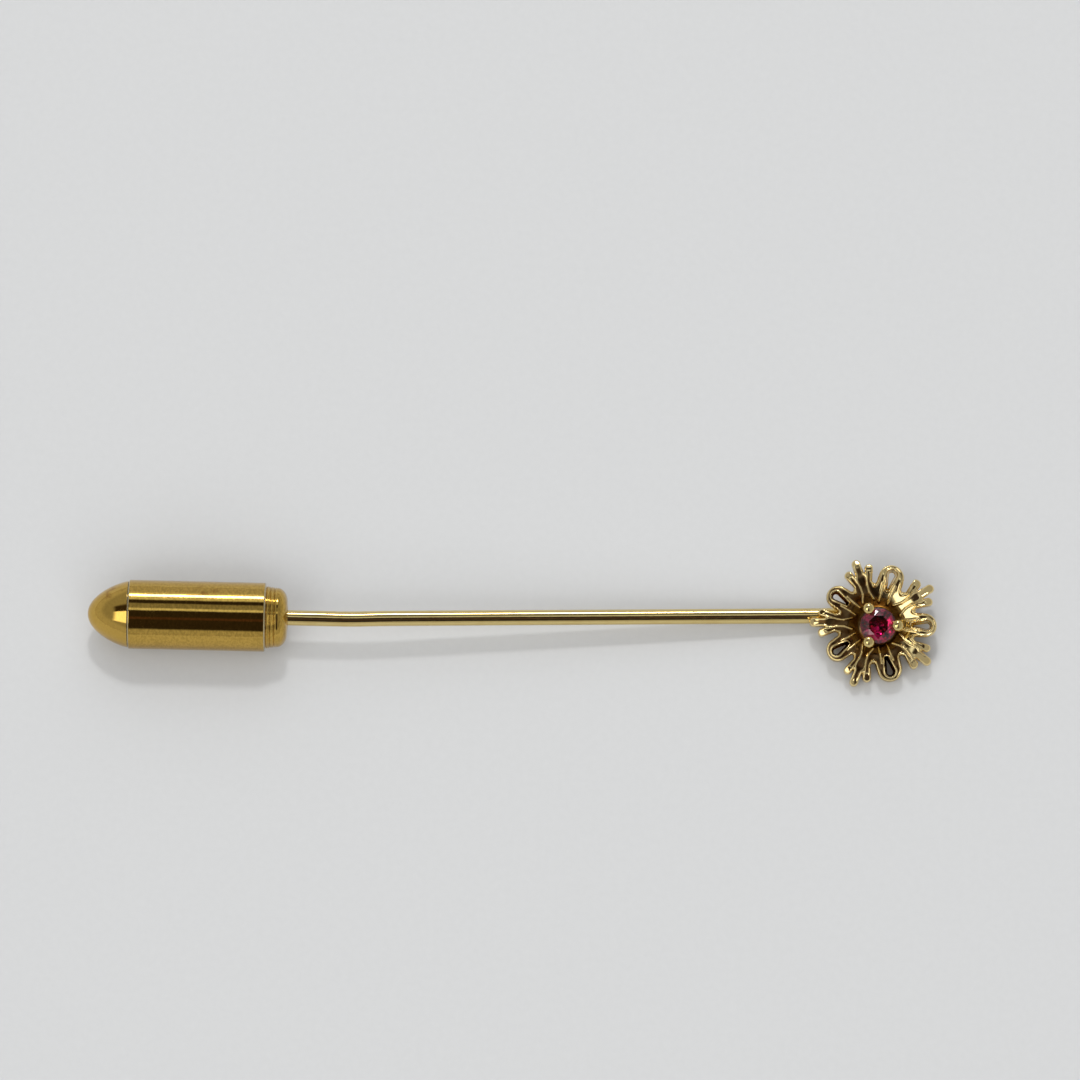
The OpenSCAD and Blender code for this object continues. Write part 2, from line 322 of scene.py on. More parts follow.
def new_piece(name, vertices, faces, material, body, replaces=(), smooth=True):
    """Makes a mesh object, with its faces pointing out, that rides on a body."""
    mesh = bpy.data.meshes.new(name)
    mesh.from_pydata([tuple(v) for v in vertices], [], [tuple(f) for f in faces])
    bm = bmesh.new()
    bm.from_mesh(mesh)
    bmesh.ops.recalc_face_normals(bm, faces=bm.faces)
    bm.to_mesh(mesh)
    bm.free()
    mesh.materials.append(material)
    if smooth:
        mesh.shade_smooth()
    else:
        mesh.shade_flat()
    obj = bpy.data.objects.new(name, mesh)
    bpy.context.scene.collection.objects.link(obj)
    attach(obj, body)
    if replaces:
        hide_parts(*replaces)
    return obj


def rounded(profile, radius, steps=5):
    """A closed profile of (x, r) points with rounded corners. radius is one number or one per corner."""
    out = []
    count = len(profile)
    for i, point in enumerate(profile):
        size = radius[i] if hasattr(radius, "__len__") else radius
        p = Vector(point)
        before, after = Vector(profile[i - 1]) - p, Vector(profile[(i + 1) % count]) - p
        reach = min(size, before.length * 0.45, after.length * 0.45)
        if reach <= 0:
            out.append(tuple(p))
            continue
        a, b = p + before.normalized() * reach, p + after.normalized() * reach
        for k in range(steps + 1):
            t = k / steps
            out.append(tuple(a.lerp(p, t).lerp(p.lerp(b, t), t)))
    return out


def lathe(name, profile, material, body, replaces=(), around=96, place=None, wobble=0.0):
    """Turns a closed profile of (x, r) points about the X axis. Points at r = 0 become one vertex."""
    vertices, rings = [], []
    for x, r in profile:
        if r < 1e-9:
            rings.append([len(vertices)] * around)
            vertices.append(Vector((x, 0, 0)))
            continue
        ring = []
        for k in range(around):
            a = TAU * k / around
            size = r + wobble * noise.noise(Vector((x / MM, 1.3 * math.cos(a), 1.3 * math.sin(a))))
            ring.append(len(vertices))
            vertices.append(Vector((x, size * math.cos(a), size * math.sin(a))))
        rings.append(ring)
    faces = []
    for i, ring in enumerate(rings):
        following = rings[(i + 1) % len(rings)]
        for k in range(around):
            n = (k + 1) % around
            corners = list(dict.fromkeys((ring[k], ring[n], following[n], following[k])))
            if len(corners) > 2:
                faces.append(corners)
    if place is not None:
        vertices = [place @ v for v in vertices]
    return new_piece(name, vertices, faces, material, body, replaces)


def sweep(name, centres, radii, material, body, replaces=(), around=32):
    """A round solid of changing radius along a line of centres, closed with a point at each end."""
    vertices, faces = [], []
    count = len(centres)
    side = None
    for i, c in enumerate(centres):
        ahead = (centres[min(i + 1, count - 1)] - centres[max(i - 1, 0)]).normalized()
        side = ahead.orthogonal() if side is None else side - ahead * side.dot(ahead)
        side.normalize()
        other = ahead.cross(side)
        for k in range(around):
            a = TAU * k / around
            vertices.append(c + (math.cos(a) * side + math.sin(a) * other) * radii[i])
    for i in range(count - 1):
        for k in range(around):
            n = (k + 1) % around
            faces.append((i * around + k, i * around + n, (i + 1) * around + n, (i + 1) * around + k))
    for first, centre in ((0, centres[0]), ((count - 1) * around, centres[-1])):
        tip = len(vertices)
        vertices.append(centre)
        faces += [(first + k, first + (k + 1) % around, tip) for k in range(around)]
    return new_piece(name, vertices, faces, material, body, replaces)


# ---- The pin's wire and the head's frame ----

# An arc down, a straight slope and an arc level again cover the run and the drop
BENDS_R = DOWN_BEND_R + LEVEL_BEND_R
SLOPE_LEN = math.sqrt(BOW_RUN ** 2 + (BENDS_R - WIRE_DROP) ** 2 - BENDS_R ** 2)
SLOPE = math.atan2(BOW_RUN, BENDS_R - WIRE_DROP) - math.atan2(SLOPE_LEN, BENDS_R)


def wire_point(s):
    """The wire's centre at a distance s along it from the clutch's mouth."""
    if s <= STRAIGHT_LEN:
        return Vector((s, 0, 0))
    s -= STRAIGHT_LEN
    turned = min(s / SIDE_BEND_R, SIDE_BEND)
    p = Vector((STRAIGHT_LEN + SIDE_BEND_R * math.sin(turned), SIDE_BEND_R * (1 - math.cos(turned)), 0))
    s -= turned * SIDE_BEND_R
    down = min(s / DOWN_BEND_R, SLOPE)
    run, drop = DOWN_BEND_R * math.sin(down), DOWN_BEND_R * (1 - math.cos(down))
    s -= down * DOWN_BEND_R
    along = min(s, SLOPE_LEN)
    run += along * math.cos(SLOPE)
    drop += along * math.sin(SLOPE)
    s -= along
    level = min(s / LEVEL_BEND_R, SLOPE)
    run += LEVEL_BEND_R * (math.sin(SLOPE) - math.sin(SLOPE - level))
    drop += LEVEL_BEND_R * (math.cos(SLOPE - level) - math.cos(SLOPE))
    s -= level * LEVEL_BEND_R
    run += s
    return p + Vector((run * math.cos(SIDE_BEND), run * math.sin(SIDE_BEND), -drop))


WIRE_LEN = STRAIGHT_LEN + SIDE_BEND_R * SIDE_BEND + BENDS_R * SLOPE + SLOPE_LEN + LEVEL_LEN
# The wire's end rolled over with the head, where the two are soldered together
ROLLED = (Matrix.Translation(wire_point(WIRE_LEN)) @ Matrix.Rotation(SIDE_BEND, 4, "Z")
          @ Matrix.Rotation(HEAD_ROLL, 4, "X"))
HEAD = ROLLED @ Matrix.Translation(Vector((0, -HEAD_SHIFT, 0))) @ Matrix.Rotation(HEAD_SPIN, 4, "Z")
# The stone and its setting sit a little off the flower's centre
SEAT_X, SEAT_Y = 0.10, -0.18
SEAT = HEAD @ Matrix.Translation(Vector((SEAT_X, SEAT_Y, 0.0)) * MM)
# A lathe turns about X, and this stands it on the seat, with x as height above the wire
ON_SEAT = SEAT @ Matrix.Rotation(-math.pi / 2, 4, "Y")


def pin_wire():
    """The bent wire, ground to a blunt point, with faint nicks where the clutch has gripped it."""
    centres, radii = [], []
    spots = list(np.linspace(0, 1, 14) ** 0.7 * POINT_LEN + POINT_X)
    spots += list(np.arange(POINT_X + POINT_LEN + 0.4 * MM, WIRE_LEN, 0.22 * MM)) + [WIRE_LEN - 0.02 * MM]
    spots = [float(s) for s in spots]
    nicks = (1.6 * MM, 3.3 * MM)
    for s in spots:
        ground = min(1.0, (s - POINT_X) / POINT_LEN)
        r = POINT_R + (SHANK_R - POINT_R) * math.sin(math.pi / 2 * ground) ** 0.8
        if s > -TAPER_LEN:
            r = SHANK_R + (WIRE_R - SHANK_R) * min(1.0, (s + TAPER_LEN) / TAPER_LEN)
        r -= sum(0.012 * MM * math.exp(-((s - n) / (0.12 * MM)) ** 2) for n in nicks)
        centres.append(wire_point(s))
        radii.append(r)
    material = pale_gold("wire_gold", (0.25, 1.0, 1.0))
    return sweep("pin_wire_drawn", centres, radii, material, "pin", ("pin_wire",), 40)


# ---- Flower casting ----

# All in millimetres, in the head's own frame. The pattern repeats in each fifth, and is mirrored in it
PETALS = 5
LOOP_C, LOOP_R, LOOP_ROOT, ROOT_R = 3.14, 0.78, 1.90, 0.84
HOLE_C, HOLE_R, HOLE_ROOT, HOLE_ROOT_R = 3.28, 0.32, 2.36, 0.13
FINGER_R, TRUNK_R = 0.285, 0.42
MIDDLE_ROOT, MIDDLE_END, TRUNK_END = 1.35, 4.08, 3.00
# Side fingers leave the trunk here and end there, as a radius and an angle from the branch's axis
SIDE_ROOT, SIDE_END = (2.30, math.radians(8.0)), (3.60, math.radians(11.0))
# Notch between a loop and a branch: its round bottom and its mouth, from the loop's axis
NOTCH_START, NOTCH_START_R = (2.80, math.radians(20.0)), 0.15
NOTCH_END, NOTCH_END_R = (3.70, math.radians(17.6)), 0.20
DISC_R = 2.45
CREST_R, CREST_H, POCKET_R, RIM_R, RIM_H = 3.0, 1.70, 1.1, 4.35, 1.25
BEAD_INSET, HOLE_BEAD_INSET, BEAD_HALF, GROOVE_DEPTH = 0.08, 0.055, 0.11, 0.10
# The holes narrow towards the back by this much on every side, over this drop of their walls
HOLE_DRAFT, HOLE_DROP = 0.13, 0.55
EDGE_ROUND = 0.12
# Ridges that run in from the petals' edges: corners as a radius and an angle from the loop's axis
RIDGES = (
    ((2.62, 8.5), (1.95, 9.0), (1.45, 11.0)),
    ((3.30, 28.8), (2.55, 30.8), (2.10, 30.0), (1.60, 23.0)),
)
# Hand finishing: how far each loop and branch is turned, in degrees, and how much longer it is. In turn
# round the flower, from the loop at its right
TURNS = (-2.0, -2.0, 1.0, 1.5, 3.0, -0.5, -0.5, -2.5, -1.5, 0.0)
STRETCH = (1.0, 1.015, 1.01, 1.0, 0.96, 1.0, 0.965, 1.0, 0.995, 1.0)


def uneven_capsule(x, y, x0, r0, x1, r1):
    """Signed distance to a shape with a round end of r0 at x0 and one of r1 at x1, along X."""
    h = x1 - x0
    b = (r0 - r1) / h
    a = math.sqrt(1 - b * b)
    u, v = np.abs(y), x - x0
    k = -b * u + a * v
    side = a * u + b * v - r0
    near = np.hypot(u, v) - r0
    far = np.hypot(u, v - h) - r1
    return np.where(k < 0, near, np.where(k > a * h, far, side))


def to_segment(x, y, start, end):
    """Distance from points to the straight line between two places."""
    return to_widening(x, y, start, 0, end, 0)


def polar(radius, angle):
    """The place at a radius and an angle."""
    return radius * math.cos(angle), radius * math.sin(angle)


def smooth_min(a, b, k):
    """The smaller value, with the crease between the two rounded over a width of k."""
    h = np.clip(0.5 + 0.5 * (b - a) / k, 0, 1)
    return b + (a - b) * h - k * h * (1 - h)


def smooth_step(low, high, value):
    """Goes smoothly from 0 at low to 1 at high."""
    t = np.clip((value - low) / (high - low), 0, 1)
    return t * t * (3 - 2 * t)


def to_widening(x, y, start, start_r, end, end_r):
    """Distance to the straight run between two places, less a radius that changes along it."""
    dx, dy = end[0] - start[0], end[1] - start[1]
    t = np.clip(((x - start[0]) * dx + (y - start[1]) * dy) / (dx * dx + dy * dy), 0, 1)
    return np.hypot(x - start[0] - t * dx, y - start[1] - t * dy) - start_r - t * (end_r - start_r)


def round_the_flower(angle, values):
    """A value for each loop and branch in turn, passing smoothly from each to the next."""
    place = (angle % TAU) / TAU * len(values)
    first = np.floor(place).astype(int) % len(values)
    share = smooth_step(0.0, 1.0, place - np.floor(place))
    values = np.array(values)
    return values[first] * (1 - share) + values[(first + 1) % len(values)] * share


def face_height(r):
    """Height of the dished face at a radius, above the wire's axis."""
    low = WEB_H / MM
    rise = low + (CREST_H - low) * np.sin(np.pi / 2 * np.clip((r - POCKET_R) / (CREST_R - POCKET_R), 0, 1))
    fall = CREST_H - (CREST_H - RIM_H) * (
        1 - np.cos(np.pi / 2 * np.clip((r - CREST_R) / (RIM_R - CREST_R), 0, 1)))
    return np.where(r < CREST_R, rise, fall)


def round_edge(inside, radius):
    """How far a rounded edge falls away, by the distance in from it."""
    t = np.clip(radius - inside, 0, radius)
    return radius - np.sqrt(np.clip(radius ** 2 - t ** 2, 0, None))


def flower_fields(x, y):
    """Signed distance to the flower's outline, the height of its face, and its colour share: high near a
    ridge's top; low in the grooves and the stone's pocket, a painted shade; high on one side, a painted
    light.
    """
    r, angle = np.hypot(x, y), np.arctan2(y, x)
    angle = angle - np.radians(round_the_flower(angle, TURNS))
    r = r / (1 + (round_the_flower(angle, STRETCH) - 1) * smooth_step(1.5, 3.0, r))
    sector = TAU / PETALS
    folded = np.abs((angle + sector / 2) % sector - sector / 2)
    u, v = r * np.cos(folded), r * np.sin(folded)
    loop = uneven_capsule(u, v, LOOP_ROOT, ROOT_R, LOOP_C, LOOP_R)
    hole = uneven_capsule(u, v, HOLE_ROOT, HOLE_ROOT_R, HOLE_C, HOLE_R)
    # the branch is drawn from its own axis, half a sector on
    off = sector / 2 - folded
    bu, bv = r * np.cos(off), r * np.sin(off)
    middle = uneven_capsule(bu, bv, MIDDLE_ROOT, FINGER_R, MIDDLE_END, FINGER_R)
    trunk = uneven_capsule(bu, bv, MIDDLE_ROOT, TRUNK_R * 0.8, TRUNK_END, TRUNK_R)
    side_start, side_end = polar(*SIDE_ROOT), polar(*SIDE_END)
    side = to_segment(bu, bv, side_start, side_end) - FINGER_R
    branch = smooth_min(smooth_min(middle, side, 0.07), trunk, 0.15)
    arms = smooth_min(branch, loop, 0.12)
    body = smooth_min(arms, r - DISC_R, 0.32)
    notch = to_widening(u, v, polar(*NOTCH_START), NOTCH_START_R, polar(*NOTCH_END), NOTCH_END_R)
    body = -smooth_min(-body, notch, 0.06)
    outline = np.maximum(body, -hole - HOLE_DRAFT)

    ridge = np.abs(-body - BEAD_INSET) + 0.4 * smooth_step(1.9, 1.3, r)
    ridge = np.minimum(ridge, np.abs(hole - HOLE_BEAD_INSET))
    for corners in RIDGES:
        places = [polar(radius, math.radians(a)) for radius, a in corners]
        for start, end in zip(places, places[1:]):
            ridge = smooth_min(ridge, to_segment(u, v, start, end), 0.04)
    tips = np.minimum(np.hypot(bu - MIDDLE_END, bv), np.hypot(bu - side_end[0], bv - side_end[1]))
    away = np.clip(ridge / BEAD_HALF, 0, 1)
    groove = (0.5 - 0.5 * np.cos(np.pi * away)) * smooth_step(0.05, 0.45, tips)
    depth = GROOVE_DEPTH * (0.6 + 0.4 * smooth_step(3.6, 2.6, r))
    height = face_height(r) - depth * groove
    pocket = smooth_step(1.05, 1.35, np.hypot(x - SEAT_X, y - SEAT_Y))
    floor = WEB_H / MM + 0.02
    height = floor + (height - floor) * pocket
    height = height - round_edge(-body, EDGE_ROUND) - HOLE_DROP * smooth_step(0.03, -HOLE_DRAFT, hole)
    # painted light: the side whose dished slopes mirror the room's window is painted paler, with little
    # brown left in its grooves; painted shade: the grooves and the pocket round the stone get a low share
    pale_share = smooth_step(0.3, 2.4, 0.95 * x + 0.45 * y) * smooth_step(1.4, 2.3, r)
    return outline, height, np.maximum((1 - groove) * pocket, pale_share)


def flower_casting():
    """The casting as one closed mesh: a fine grid cut along the outline, its face raised, its back flat."""
    step = 0.032
    reach = 4.5
    count = int(2 * reach / step) + 1
    axis = np.linspace(-reach, reach, count)
    gx, gy = np.meshgrid(axis, axis, indexing="ij")

    f = flower_fields(gx, gy)[0]
    # points close to the outline are moved onto it, so that no sliver is left along it
    eps = 1e-3
    for _ in range(2):
        dx = (flower_fields(gx + eps, gy)[0] - flower_fields(gx - eps, gy)[0]) / (2 * eps)
        dy = (flower_fields(gx, gy + eps)[0] - flower_fields(gx, gy - eps)[0]) / (2 * eps)
        slope = np.clip(dx * dx + dy * dy, 0.05, None)
        close = np.abs(f) < 0.45 * step
        gx = np.where(close, gx - f * dx / slope, gx)
        gy = np.where(close, gy - f * dy / slope, gy)
        f = np.where(close, flower_fields(gx, gy)[0], f)
    inside = f < 0.05 * step
    index, points = {}, []

    def corner(i, j):
        key = (i, j)
        if key not in index:
            index[key] = len(points)
            points.append((gx[i, j], gy[i, j]))
        return index[key]

    def crossing(a, b):
        key = (min(a, b), max(a, b))
        if key not in index:
            t = f[a] / (f[a] - f[b])
            index[key] = len(points)
            points.append((gx[a] + t * (gx[b] - gx[a]), gy[a] + t * (gy[b] - gy[a])))
        return index[key]

    triangles = []
    for i in range(count - 1):
        for j in range(count - 1):
            square = ((i, j), (i + 1, j), (i + 1, j + 1), (i, j + 1))
            if not any(inside[c] for c in square):
                continue
            halves = ((0, 1, 2), (0, 2, 3)) if (i + j) % 2 else ((0, 1, 3), (1, 2, 3))
            for half in halves:
                loop = []
                for k in range(3):
                    a, b = square[half[k]], square[half[(k + 1) % 3]]
                    if inside[a]:
                        loop.append(corner(*a))
                    if inside[a] != inside[b]:
                        loop.append(crossing(a, b))
                loop = list(dict.fromkeys(loop))
                triangles += [(loop[0], loop[k], loop[k + 1]) for k in range(1, len(loop) - 1)]
    px, py = np.array(points).T
    outline, height, ridge = flower_fields(px, py)
    back = BACK_H / MM + round_edge(-outline, 0.10)
    top = [HEAD @ Vector((x * MM, y * MM, z * MM)) for x, y, z in zip(px, py, height)]
    under = [HEAD @ Vector((x * MM, y * MM, z * MM)) for x, y, z in zip(px, py, back)]
    n = len(points)
    edges = {}
    for a, b, c in triangles:
        for e in ((a, b), (b, c), (c, a)):
            edges[e] = edges.get(e, 0) + 1
    border = [e for e in edges if (e[1], e[0]) not in edges]
    levels = 3
    vertices = top + under
    middle = {}
    for a, _ in border:
        middle[a] = []
        for level in range(1, levels):
            middle[a].append(len(vertices))
            vertices.append(top[a].lerp(under[a], level / levels))
    faces = [(a, b, c) for a, b, c in triangles] + [(n + a, n + c, n + b) for a, b, c in triangles]
    for a, b in border:
        left = [a] + middle[a] + [n + a]
        right = [b] + middle[b] + [n + b]
        faces += [(left[k], left[k + 1], right[k + 1], right[k]) for k in range(levels)]
    obj = new_piece("flower_cast", vertices, faces, cast_gold("cast_gold"), "pin",
                    ("flower_casting",))
    obj.data.set_sharp_from_angle(angle=math.radians(55))
    # painted shade and light: each face point gets its colour share from flower_fields; the back and walls
    # get 0.55
    shade = np.full(len(vertices), 0.55, np.float32)
    shade[:n] = ridge
    attribute = obj.data.attributes.new("ridge", "FLOAT", "POINT")
    attribute.data.foreach_set("value", shade)
    return obj


# ---- Stone, setting and claws ----

GIRDLE_R, GIRDLE_H, GIRDLE_THICK = 1.18, 1.85, 0.06
TABLE_R, TABLE_H, CULET_H = 0.66, 2.22, 1.05
CLAW_R, CLAW_BALL_R, CLAW_H = 1.26, 0.39, 2.08


def round_stone():
    """A round brilliant cut: table, star and kite facets above, mains and halves below."""
    points = []

    def ring(count, radius, height, turn=0.0):
        for k in range(count):
            a = TAU * (k + turn) / count
            points.append((radius * math.cos(a), radius * math.sin(a), height))

    ring(8, TABLE_R, TABLE_H, 0.5)
    ring(8, 0.91, 2.085)
    ring(16, GIRDLE_R, GIRDLE_H + GIRDLE_THICK)
    ring(16, GIRDLE_R, GIRDLE_H)
    ring(8, 0.42, 1.31, 0.5)
    points.append((0, 0, CULET_H))
    bm = bmesh.new()
    for p in points:
        bm.verts.new(SEAT @ (Vector(p) * MM))
    bmesh.ops.convex_hull(bm, input=bm.verts)
    bmesh.ops.dissolve_limit(bm, angle_limit=math.radians(0.5), verts=bm.verts, edges=bm.edges)
    bm.verts.ensure_lookup_table()
    bm.verts.index_update()
    vertices = [v.co.copy() for v in bm.verts]
    faces = [[v.index for v in f.verts] for f in bm.faces]
    bm.free()
    return new_piece("round_stone_cut", vertices, faces, red_stone(), "pin",
                     ("round_stone",), smooth=False)


def stone_setting():
    """The cup: a turned wall with a rolled lip round the stone's girdle."""
    profile = [(0.93, 0.60), (0.93, 1.00), (1.15, 1.01), (1.66, 1.09), (1.78, 1.13), (1.83, 1.12),
               (1.80, 1.06), (1.60, 0.90), (1.34, 0.62)]
    profile = [(x * MM, r * MM) for x, r in rounded(profile, 0.08, 4)]
    material = pale_gold("setting_gold", deep=0.7, rough=0.10)
    return lathe("stone_cup", profile, material, "pin", ("stone_setting",), 80, ON_SEAT,
                 0.012 * MM)


def claws():
    """Three claws: a tapered post that leans in over the girdle, and a round bead on its end."""
    material = pale_gold("claw_gold", deep=0.2, rough=0.07)
    for i in range(3):
        turn = Matrix.Rotation(i * TAU / 3, 4, "Z")
        centres, radii = [], []
        for k in range(10):
            t = k / 9
            r = 1.36 - 0.08 * t * t
            centres.append(SEAT @ turn @ Vector((r * MM, 0, (0.93 + 0.80 * t) * MM)))
            radii.append((0.24 - 0.03 * t) * MM)
        beads = 22
        for k in range(1, beads + 1):
            a = math.pi * (0.16 + 0.84 * k / beads)
            height = CLAW_H - CLAW_BALL_R * math.cos(a) * 0.92
            size = CLAW_BALL_R * math.sin(a) + 0.004
            lean = CLAW_R - 0.02 * (k / beads)
            centres.append(SEAT @ turn @ Vector((lean * MM, 0.01 * MM * i, height * MM)))
            radii.append(size * MM)
        sweep(f"claw_bead_{i + 1}", centres, radii, material, "pin", (f"claw_{i + 1}",), 36)


def solder_joint():
    """A smooth mound of solder under the casting, round the wire's end."""
    vertices, faces = [], []
    rings, around = 16, 56
    for i in range(rings + 1):
        rho = i / rings
        for k in range(around):
            a = TAU * k / around
            uneven = 1 + 0.10 * noise.noise(Vector((2.2 * math.cos(a), 2.2 * math.sin(a), 3.1)))
            x = -0.30 + 1.18 * rho * math.cos(a) * uneven
            y = 0.92 * rho * math.sin(a) * uneven
            depth = 0.88 * (1 - rho ** 2) ** 0.8 + 0.02
            vertices.append(ROLLED @ (Vector((x, y, BACK_H / MM - depth)) * MM))
    top = len(vertices)
    for k in range(around):
        vertices.append(vertices[rings * around + k] + ROLLED.to_3x3() @ Vector((0, 0, 0.04 * MM)))
    for i in range(rings):
        for k in range(around):
            n = (k + 1) % around
            faces.append((i * around + k, i * around + n, (i + 1) * around + n, (i + 1) * around + k))
    for k in range(around):
        n = (k + 1) % around
        faces.append((rings * around + k, rings * around + n, top + n, top + k))
    faces.append([top + k for k in range(around)])
    obj = new_piece("solder_mound", vertices, faces, pale_gold("solder_gold", deep=0.9, rough=0.2),
                    "pin", ("solder_joint",))
    bm = bmesh.new()
    bm.from_mesh(obj.data)
    bmesh.ops.remove_doubles(bm, verts=bm.verts, dist=0.001 * MM)
    bmesh.ops.recalc_face_normals(bm, faces=bm.faces)
    bm.to_mesh(obj.data)
    bm.free()
    return obj


# ---- Clutch ----

def barrel_shell():
    """The barrel: a tube with bevelled ends, slightly uneven along its length."""
    low, high = BARREL_LOW.x, BARREL_HIGH.x
    inner_r = BARREL_R - 0.3 * MM
    outer_r = BARREL_R - 0.01 * MM
    corners = [(high, inner_r), (high, outer_r - BEVEL), (high - BEVEL, outer_r), (low + BEVEL, outer_r),
               (low, outer_r - BEVEL), (low, inner_r)]
    soft = [0.02 * MM, 0.02 * MM, 0.03 * MM, 0.03 * MM, 0.02 * MM, 0.02 * MM]
    profile = rounded(corners, soft, 4)
    dense = []
    for i, p in enumerate(profile):
        after = profile[(i + 1) % len(profile)]
        parts = max(1, int(abs(after[0] - p[0]) / (0.3 * MM)))
        dense += [(p[0] + (after[0] - p[0]) * k / parts, p[1] + (after[1] - p[1]) * k / parts)
                  for k in range(parts)]
    stain = (low * 0.5, 0.9 * MM, 2.1 * MM)
    gold = plated_gold("barrel_gold", (low + BEVEL / 2, high - BEVEL / 2), BEVEL * 0.5, stain)
    lathe("barrel_shell", dense, gold, "clutch_body", ("clutch_barrel",), 128,
          wobble=0.004 * MM)


def bullet_nose():
    """The nose: a blunt ogive, hollow where the stem is pressed in."""
    back = NOSE_HIGH.x
    length = back - NOSE_LOW.x
    socket_r, socket_len = 0.95 * MM, 1.15 * MM
    edge_r = NOSE_HIGH.z - 0.01 * MM
    profile = [(back - socket_len, 0), (back - socket_len, socket_r), (back, socket_r),
               (back, edge_r - 0.05 * MM)]
    steps = 48
    for k in range(steps + 1):
        a = math.pi / 2 * k / steps
        x = back - 0.02 * MM - (length - 0.02 * MM) * math.sin(a) ** (2 / NOSE_POWER)
        profile.append((x, max(0.0, edge_r * math.cos(a))))
    profile[-1] = (NOSE_LOW.x, 0)
    stain = (back - 1.0 * MM, 1.2 * MM, 1.6 * MM)
    gold = plated_gold("nose_gold", (back,), 0.03 * MM, stain, tarnish=0.3)
    lathe("bullet_nose", profile, gold, "plunger", ("nose_cap",), 128, wobble=0.004 * MM)


def ringed_collar():
    """The collar: fine turned rings, then a full round over to the funnel that the pin enters."""
    start, inner_r = BARREL_HIGH.x, BARREL_R - 0.3 * MM
    outer_r = COLLAR_HIGH.z
    bore_r, funnel_r, funnel_len = 0.56 * MM, 0.95 * MM, 0.4 * MM
    ringed_len = -start - COLLAR_ROUND_LEN
    profile = [(COLLAR_LOW.x, bore_r), (COLLAR_LOW.x, inner_r), (start, inner_r)]
    pitch = ringed_len / (COLLAR_RINGS + 0.5)
    steps = 9
    for i in range(COLLAR_RINGS * steps + steps // 2 + 1):
        along = i / steps
        turned = 0.5 - 0.5 * math.cos(TAU * along)
        depth = 0.055 * MM if int(along) % 2 == 0 else 0.03 * MM
        r = outer_r - COLLAR_TAPER * along * pitch / ringed_len - depth * turned ** 2
        profile.append((start + along * pitch, r))
    steps = 16
    front_r = outer_r - COLLAR_TAPER
    for k in range(1, steps + 1):
        a = math.pi / 2 * k / steps
        faint = 0.006 * MM * math.sin(9 * a) ** 2
        profile.append((-COLLAR_ROUND_LEN * (1 - math.sin(a)),
                        front_r - COLLAR_ROUND_DEPTH * (1 - math.cos(a)) - faint))
    for k in range(1, 7):
        a = math.pi / 2 * k / 6
        profile.append((-funnel_len * (1 - math.cos(a)), bore_r + (funnel_r - bore_r) * (1 - math.sin(a))))
    lathe("ringed_collar", profile, plated_gold("collar_gold", (start,), 0.03 * MM), "clutch_body",
          ("front_collar",), 112)


def return_spring(steel):
    """The spring as a round wire, with its end turns closed up."""
    low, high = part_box("return_spring")
    wire_r, coil_r = 0.14 * MM, 1.4 * MM
    turns, per_turn, closed = 6.5, 28, 0.9
    first, last = low.x + wire_r, high.x - wire_r
    centres = []
    total = int(turns * per_turn)
    for k in range(total + 1):
        turn = turns * k / total
        ends = min(turn, closed) + max(0.0, turn - (turns - closed))
        tight = 2.1 * wire_r * ends
        open_turns = turn - ends
        pitch = (last - first - 2.1 * wire_r * 2 * closed) / (turns - 2 * closed)
        a = TAU * turn
        x = first + tight + pitch * open_turns
        centres.append(Vector((x, coil_r * math.cos(a), coil_r * math.sin(a))))
    spring = sweep("coil_spring", centres, [wire_r] * len(centres), steel, "clutch_body",
                   ("return_spring",), 12)
    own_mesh(spring)
    return spring


def inner_steel(steel):
    """Gives the hidden steel pieces, which keep their CAD shapes, their material."""
    names = ["taper_seat", "rear_bush", "plunger_stem"]
    names += [f"lock_ball_{i + 1}" for i in range(BALL_COUNT)]
    for name in names:
        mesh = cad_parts[name].data
        mesh.materials.clear()
        mesh.materials.append(steel)


# ---- Studio ----

CAMERA_ELEVATION = math.radians(70.1)
CAMERA_AZIMUTH = math.radians(1.37)
CAMERA_DISTANCE = 702 * MM
CAMERA_ANGLE = math.radians(5.737)
# Where the camera looks, from the middle of the object's box: a little right of it and well behind it
LOOK_ASIDE = Vector((1.65, 5.52, 0.0)) * MM


def camera():
    """A long lens, high on the near side."""
    low, high = (Vector(c) for c in CAD_BOX)
    target = (low + high) / 2 + LOOK_ASIDE
    target.z = -1.5 * MM
    out = Vector((math.sin(CAMERA_AZIMUTH) * math.cos(CAMERA_ELEVATION),
                  -math.cos(CAMERA_AZIMUTH) * math.cos(CAMERA_ELEVATION),
                  math.sin(CAMERA_ELEVATION)))
    data = bpy.data.cameras.new("camera")
    data.angle = CAMERA_ANGLE
    data.clip_start = 0.005
    data.clip_end = 20
    obj = bpy.data.objects.new("camera", data)
    obj.location = target + out * CAMERA_DISTANCE
    obj.rotation_euler = (-out).to_track_quat("-Z", "Y").to_euler()
    bpy.context.scene.collection.objects.link(obj)
    bpy.context.scene.camera = obj


def floor():
    """The sheet of paper that the pin lies on."""
    size = 3.0
    mesh = bpy.data.meshes.new("floor")
    mesh.from_pydata([(-size, -size, TABLE_Z), (size, -size, TABLE_Z), (size, size, TABLE_Z),
                      (-size, size, TABLE_Z)], [], [(0, 1, 2, 3)])
    mesh.materials.append(floor_paper())
    obj = bpy.data.objects.new("floor", mesh)
    bpy.context.scene.collection.objects.link(obj)


LAMP_DISTANCE = 0.6
LAMP_AIM = Vector((14, 0, 0)) * MM


